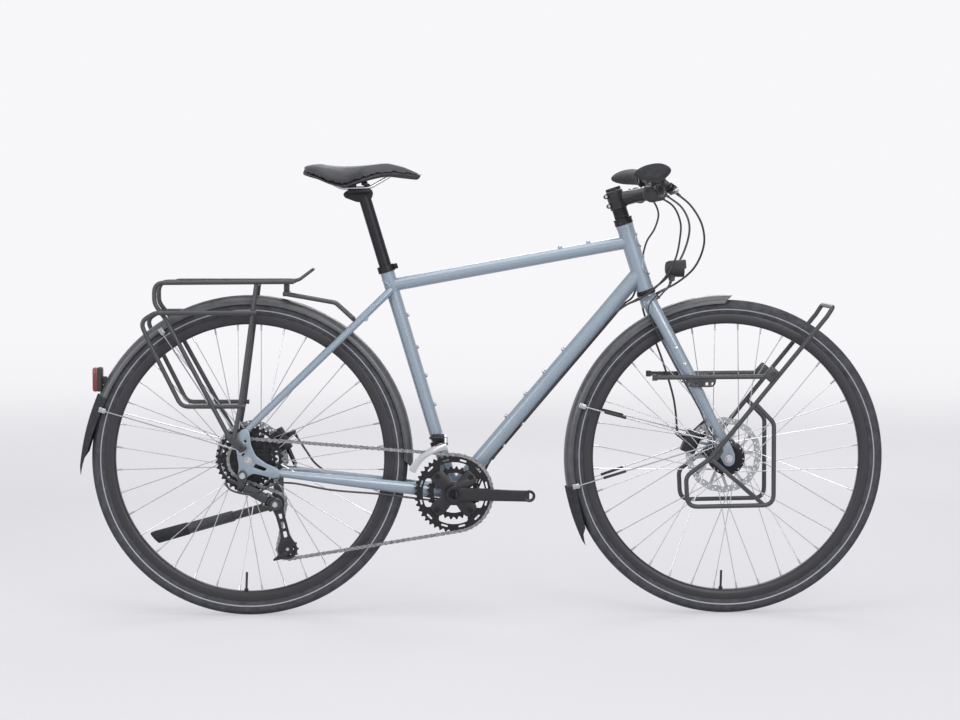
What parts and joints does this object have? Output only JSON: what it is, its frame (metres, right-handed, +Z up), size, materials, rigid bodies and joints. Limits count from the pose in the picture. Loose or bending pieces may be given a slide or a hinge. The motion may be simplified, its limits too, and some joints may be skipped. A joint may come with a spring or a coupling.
{
  "type": "touring bicycle",
  "caption": "Touring bicycle with diamond frame, disc brakes, derailleur gears, mudguards, rear rack, low front rack, hub dynamo lights and a side stand, without pedals.",
  "frame": {"origin": "on the ground under the middle of the overall length, in the middle plane of the frame", "axes": "+X points forward, +Y to the left of the bicycle (away from the chain side), +Z up"},
  "size_m": [1.7844, 0.63, 1.0006],
  "materials": {
    "frame_paint": "metallic grey-blue lacquer",
    "black_paint": "black powder coat",
    "anodised": "satin black anodised",
    "bright_steel": "bright",
    "dark_steel": "oiled grey steel",
    "grip_rubber": "fine matt pattern",
    "tyre": "matt with a light grey stripe",
    "black_plastic": "matt",
    "red_lens": "clear red",
    "saddle_cover": "smooth artificial leather"
  },
  "bodies": {
    "frame": {"frame": "frame_paint", "seat_clamp": "anodised", "headset_upper_cup": "anodised", "headset_lower_cup": "anodised", "bottom_bracket": "anodised", "rear_axle": "bright_steel", "rear_mudguard": "black_plastic", "rear_light": "red_lens", "rear_rack": "black_paint", "rear_caliper": "anodised", "front_derailleur_clamp": "anodised", "chain": "dark_steel", "rear_brake_cable": "black_plastic", "rear_shift_cable": "black_plastic", "front_shift_cable": "black_plastic"},
    "steering": {"fork": "frame_paint", "stem": "anodised", "handlebar": "anodised", "grip_right": "grip_rubber", "grip_left": "grip_rubber", "control_right": "anodised", "control_left": "anodised", "front_axle": "bright_steel", "front_caliper": "anodised", "front_mudguard": "black_plastic", "headlight_bracket": "black_plastic", "front_rack": "black_paint", "front_brake_cable": "black_plastic", "dynamo_wire": "black_plastic"},
    "headlight": {"headlight": "black_plastic"},
    "front_wheel": {"front_hub": "anodised", "front_rim": "anodised", "front_tyre": "tyre"},
    "rear_wheel": {"rear_hub": "anodised", "rear_rim": "anodised", "rear_tyre": "tyre"},
    "cassette": {"cassette": "dark_steel"},
    "crank": {"crank_right": "anodised", "crank_left": "anodised", "chainring_outer": "anodised", "chainring_inner": "anodised"},
    "derailleur_knuckle": {"derailleur_knuckle": "anodised"},
    "derailleur_outer_link": {"derailleur_outer_link": "anodised"},
    "derailleur_inner_link": {"derailleur_inner_link": "anodised"},
    "derailleur_knee": {"derailleur_knee": "anodised"},
    "derailleur_cage": {"derailleur_cage": "anodised"},
    "guide_pulley": {"guide_pulley": "black_plastic"},
    "tension_pulley": {"tension_pulley": "black_plastic"},
    "front_derailleur_cage": {"front_derailleur_cage": "bright_steel"},
    "brake_lever_right": {"brake_lever_right": "anodised"},
    "brake_lever_left": {"brake_lever_left": "anodised"},
    "shift_paddle_right": {"shift_paddle_right": "black_plastic"},
    "shift_paddle_left": {"shift_paddle_left": "black_plastic"},
    "front_brake_arm": {"front_brake_arm": "anodised"},
    "rear_brake_arm": {"rear_brake_arm": "anodised"},
    "stand": {"stand_leg": "black_paint"},
    "seat": {"seatpost": "anodised", "saddle_rails": "bright_steel", "saddle": "saddle_cover"}
  },
  "joints": [
    {"name": "steering_turn", "type": "hinge", "parent": "frame", "child": "steering", "pos_m": [0.36428, 0, 0.7198], "axis": [-0.3074, 0, 0.9516], "range_deg": [-60, 60], "deforming": ["rear_brake_cable", "rear_shift_cable", "front_shift_cable"]},
    {"name": "headlight_tilt", "type": "hinge", "parent": "steering", "child": "headlight", "pos_m": [0.423, 0, 0.745], "axis": [0, 1, 0], "range_deg": [-15, 15]},
    {"name": "front_wheel_spin", "type": "hinge", "parent": "steering", "child": "front_wheel", "pos_m": [0.545, 0, 0.349], "axis": [0, 1, 0], "continuous": true},
    {"name": "rear_wheel_spin", "type": "hinge", "parent": "frame", "child": "rear_wheel", "pos_m": [-0.511, 0, 0.349], "axis": [0, 1, 0], "continuous": true},
    {"name": "crank_spin", "type": "hinge", "parent": "frame", "child": "crank", "pos_m": [-0.06121, 0, 0.274], "axis": [0, 1, 0], "continuous": true, "deforming": ["chain"]},
    {"name": "cassette_spin", "type": "hinge", "parent": "frame", "child": "cassette", "pos_m": [-0.511, 0, 0.349], "axis": [0, 1, 0], "continuous": true},
    {"name": "derailleur_mount_swing", "type": "hinge", "parent": "frame", "child": "derailleur_knuckle", "pos_m": [-0.5238, 0, 0.3167], "axis": [0, 1, 0], "range_deg": [0, 35], "deforming": ["chain", "rear_shift_cable"]},
    {"name": "derailleur_outer_link_swing", "type": "hinge", "parent": "derailleur_knuckle", "child": "derailleur_outer_link", "pos_m": [-0.5173, -0.0865, 0.29027], "axis": [0.4879, 0, 0.8729], "range_deg": [-25, 14], "deforming": ["chain", "rear_shift_cable"]},
    {"name": "derailleur_inner_link_swing", "type": "hinge", "parent": "derailleur_knuckle", "child": "derailleur_inner_link", "pos_m": [-0.5173, -0.064, 0.29027], "axis": [0.4879, 0, 0.8729], "range_deg": [-25, 14]},
    {"name": "derailleur_knee_swing", "type": "hinge", "parent": "derailleur_outer_link", "child": "derailleur_knee", "pos_m": [-0.47191, -0.0865, 0.2649], "axis": [0.4879, 0, 0.8729], "range_deg": [-14, 25], "deforming": ["chain"]},
    {"name": "derailleur_cage_swing", "type": "hinge", "parent": "derailleur_knee", "child": "derailleur_cage", "pos_m": [-0.45271, 0, 0.25417], "axis": [0, 1, 0], "range_deg": [-30, 50], "stiffness_Nm_per_rad": 2, "deforming": ["chain"]},
    {"name": "guide_pulley_spin", "type": "hinge", "parent": "derailleur_cage", "child": "guide_pulley", "pos_m": [-0.45271, 0, 0.25417], "axis": [0, 1, 0], "continuous": true},
    {"name": "tension_pulley_spin", "type": "hinge", "parent": "derailleur_cage", "child": "tension_pulley", "pos_m": [-0.42761, 0, 0.15118], "axis": [0, 1, 0], "continuous": true},
    {"name": "front_derailleur_swing", "type": "hinge", "parent": "frame", "child": "front_derailleur_cage", "pos_m": [-0.09482, -0.027, 0.39436], "axis": [1, 0, 0], "range_deg": [0, 7], "stiffness_Nm_per_rad": 1, "deforming": ["chain", "front_shift_cable"]},
    {"name": "brake_lever_right_pull", "type": "hinge", "parent": "steering", "child": "brake_lever_right", "pos_m": [0.40255, -0.15, 0.94385], "axis": [-0.6691, 0, -0.7431], "range_deg": [0, 14], "stiffness_Nm_per_rad": 1.5, "deforming": ["front_brake_cable"]},
    {"name": "brake_lever_left_pull", "type": "hinge", "parent": "steering", "child": "brake_lever_left", "pos_m": [0.40255, 0.15, 0.94385], "axis": [0.6691, 0, 0.7431], "range_deg": [0, 14], "stiffness_Nm_per_rad": 1.5, "deforming": ["rear_brake_cable"]},
    {"name": "shift_paddle_right_push", "type": "hinge", "parent": "steering", "child": "shift_paddle_right", "pos_m": [0.35616, -0.1663, 0.93992], "axis": [0.6691, 0, 0.7431], "range_deg": [0, 15], "stiffness_Nm_per_rad": 0.05},
    {"name": "shift_paddle_left_push", "type": "hinge", "parent": "steering", "child": "shift_paddle_left", "pos_m": [0.35616, 0.1663, 0.93992], "axis": [-0.6691, 0, -0.7431], "range_deg": [0, 15], "stiffness_Nm_per_rad": 0.05},
    {"name": "front_brake_arm_swing", "type": "hinge", "parent": "steering", "child": "front_brake_arm", "pos_m": [0.47268, 0.0615, 0.37822], "axis": [0, 1, 0], "range_deg": [0, 16], "deforming": ["front_brake_cable"]},
    {"name": "rear_brake_arm_swing", "type": "hinge", "parent": "frame", "child": "rear_brake_arm", "pos_m": [-0.44655, 0.074, 0.38327], "axis": [0, 1, 0], "range_deg": [0, 16], "deforming": ["rear_brake_cable"]},
    {"name": "stand_deploy", "type": "hinge", "parent": "frame", "child": "stand", "pos_m": [-0.453, 0.078, 0.231], "axis": [0.2209, -0.9339, -0.2812], "range_deg": [0, 100]},
    {"name": "seatpost_height", "type": "slide", "parent": "frame", "child": "seat", "axis": [-0.2874, 0, 0.9578], "range_m": [-0.06, 0.06]}
  ],
  "couplings": [
    {"joint": "cassette_spin", "follows": "crank_spin", "ratio": 1.8261},
    {"joint": "guide_pulley_spin", "follows": "crank_spin", "ratio": -3.8182},
    {"joint": "tension_pulley_spin", "follows": "crank_spin", "ratio": 3.8182},
    {"joint": "derailleur_inner_link_swing", "follows": "derailleur_outer_link_swing", "ratio": 1},
    {"joint": "derailleur_knee_swing", "follows": "derailleur_outer_link_swing", "ratio": -1},
    {"joint": "front_brake_arm_swing", "follows": "brake_lever_right_pull", "ratio": 1.1},
    {"joint": "rear_brake_arm_swing", "follows": "brake_lever_left_pull", "ratio": 1.1}
  ]
}
